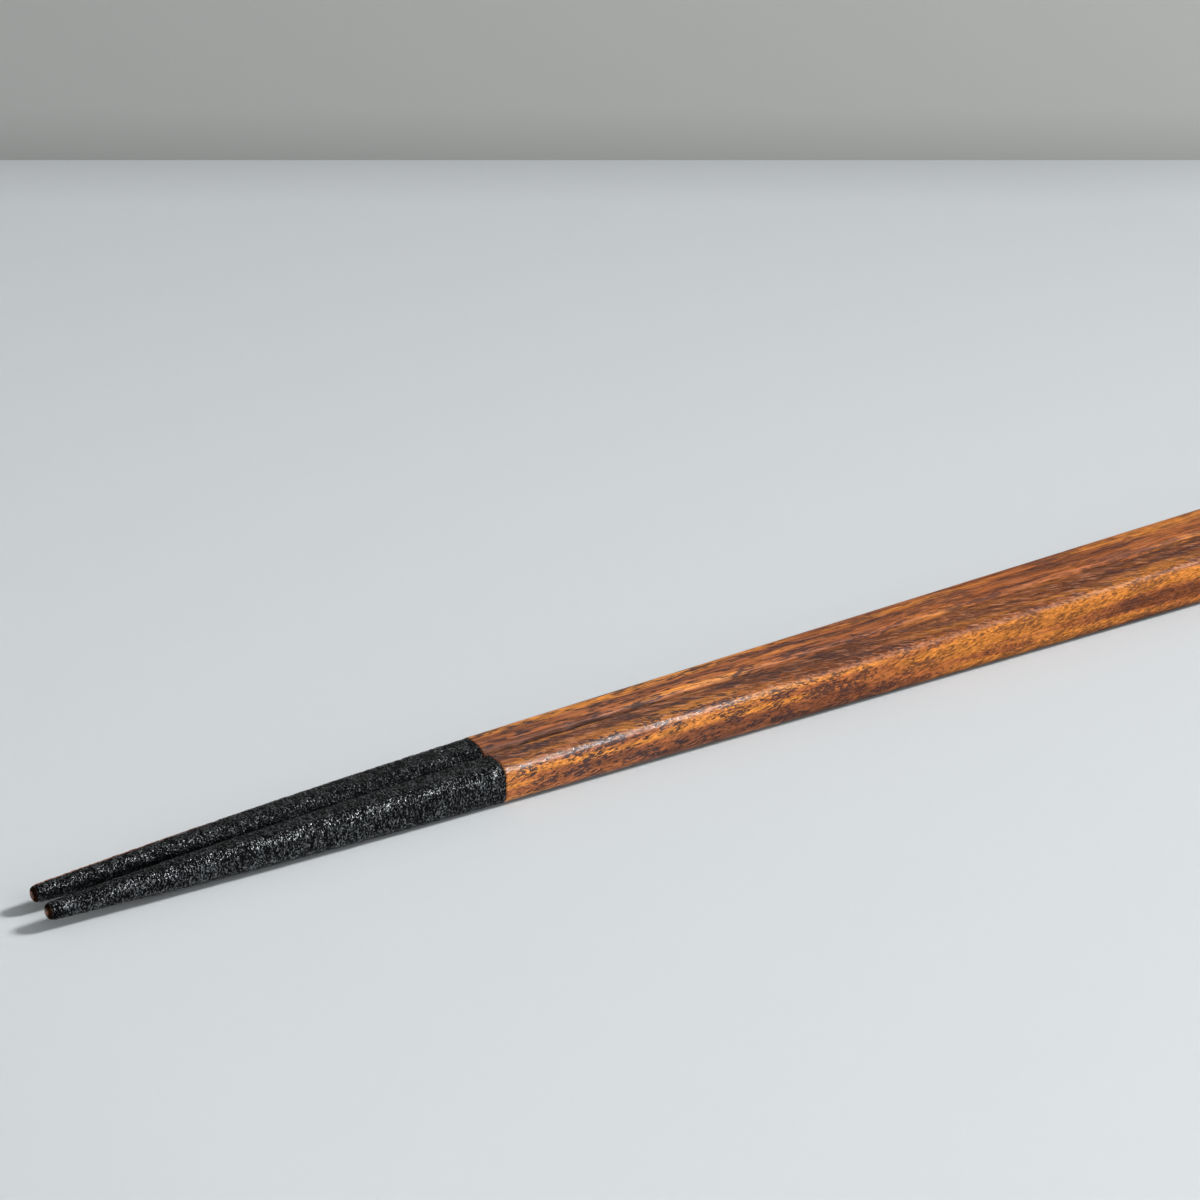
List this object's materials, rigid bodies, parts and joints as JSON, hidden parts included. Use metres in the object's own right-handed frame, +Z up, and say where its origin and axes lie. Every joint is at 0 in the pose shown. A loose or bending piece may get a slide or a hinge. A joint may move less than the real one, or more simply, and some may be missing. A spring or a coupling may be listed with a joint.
{
  "type": "pair of wooden chopsticks",
  "caption": "Pair of lacquered hardwood chopsticks lying side by side, square with rounded corners at the handle, thinning to nearly round tips with a grainy black coat.",
  "frame": {"origin": "on the surface that the sticks lie on, under the middle of the pair", "axes": "+X along the sticks from the noses to the handle ends, +Y from the front stick to the back stick, +Z up"},
  "size_m": [0.23, 0.015, 0.0075],
  "materials": {
    "lacquered_wood": "glossy clear lacquer over streaked red-brown hardwood",
    "grainy_coat": "grainy black lacquer with fine crosswise wrinkles"
  },
  "bodies": {
    "root": {"front_stick": "lacquered_wood", "front_tip_coat": "grainy_coat", "back_stick": "lacquered_wood", "back_tip_coat": "grainy_coat"}
  },
  "joints": []
}
